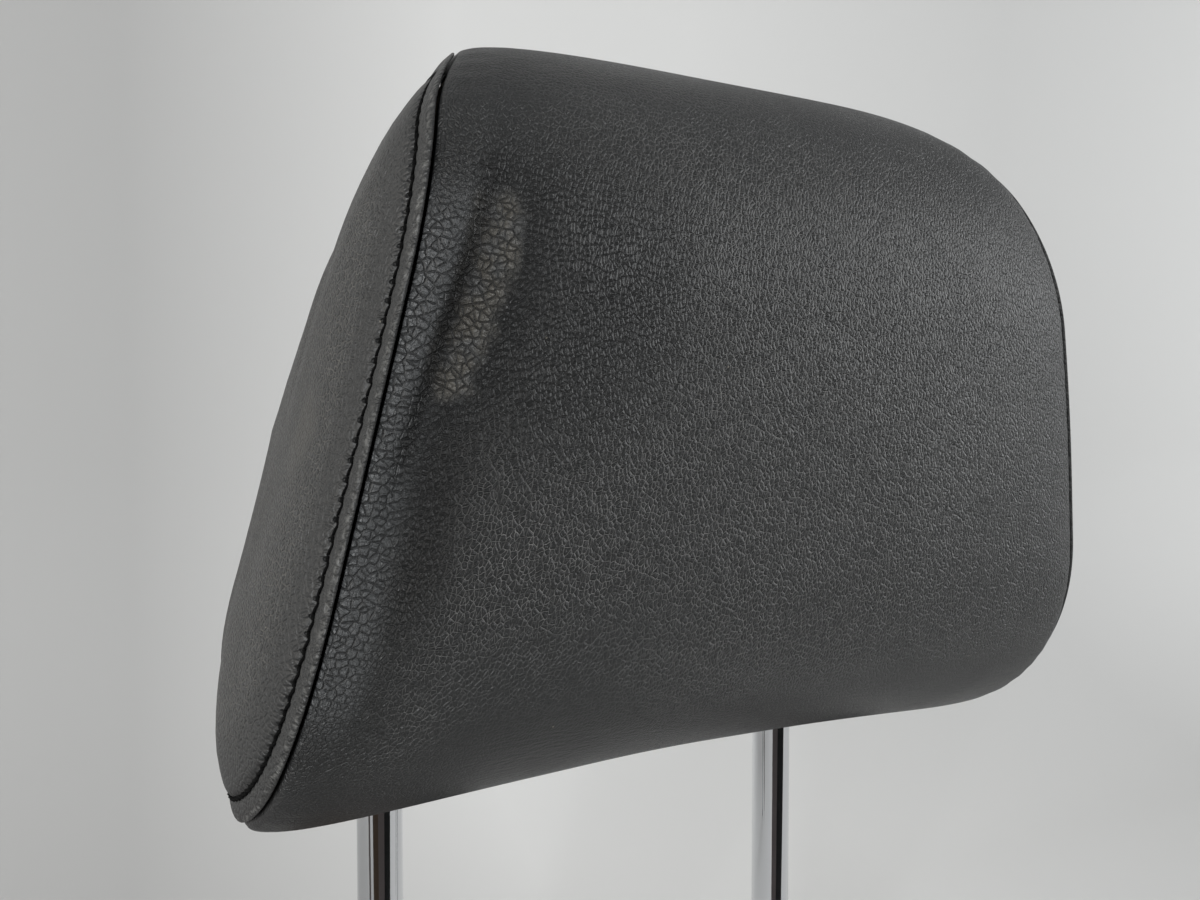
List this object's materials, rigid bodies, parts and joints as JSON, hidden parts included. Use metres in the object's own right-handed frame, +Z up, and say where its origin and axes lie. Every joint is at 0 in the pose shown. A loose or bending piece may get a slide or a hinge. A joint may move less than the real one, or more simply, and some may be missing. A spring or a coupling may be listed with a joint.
{
  "type": "car headrest",
  "caption": "Adjustable car headrest: sewn leatherette cushion with domed side panels on a bent chromed steel hoop whose two posts slide into the seat back.",
  "frame": {"origin": "midway between the two post tips, at the level of the tips", "axes": "+X to the cushion's right seen from the front, -Y towards the occupant's head, +Z up along the posts"},
  "size_m": [0.2442, 0.1437, 0.3615],
  "materials": {
    "leatherette": "black grained leatherette, satin",
    "thread": "black sewing thread",
    "chrome": "bright chromed steel tube",
    "foam": "moulded foam",
    "plastic": "black moulded plastic",
    "screw_steel": "zinc-plated steel"
  },
  "bodies": {
    "root": {"post_hoop": "chrome", "post_end_plug_left": "plastic", "post_end_plug_right": "plastic", "cover_main_panel": "leatherette", "cover_side_panel_left": "leatherette", "cover_side_panel_right": "leatherette", "side_topstitch_left": "thread", "side_topstitch_right": "thread", "carrier_front_shell": "plastic", "carrier_rear_shell": "plastic", "carrier_screw_1": "screw_steel", "carrier_screw_2": "screw_steel", "carrier_screw_3": "screw_steel", "carrier_screw_4": "screw_steel", "closure_strip_front": "plastic", "closure_strip_rear": "plastic", "foam_pad": "foam"}
  },
  "joints": []
}
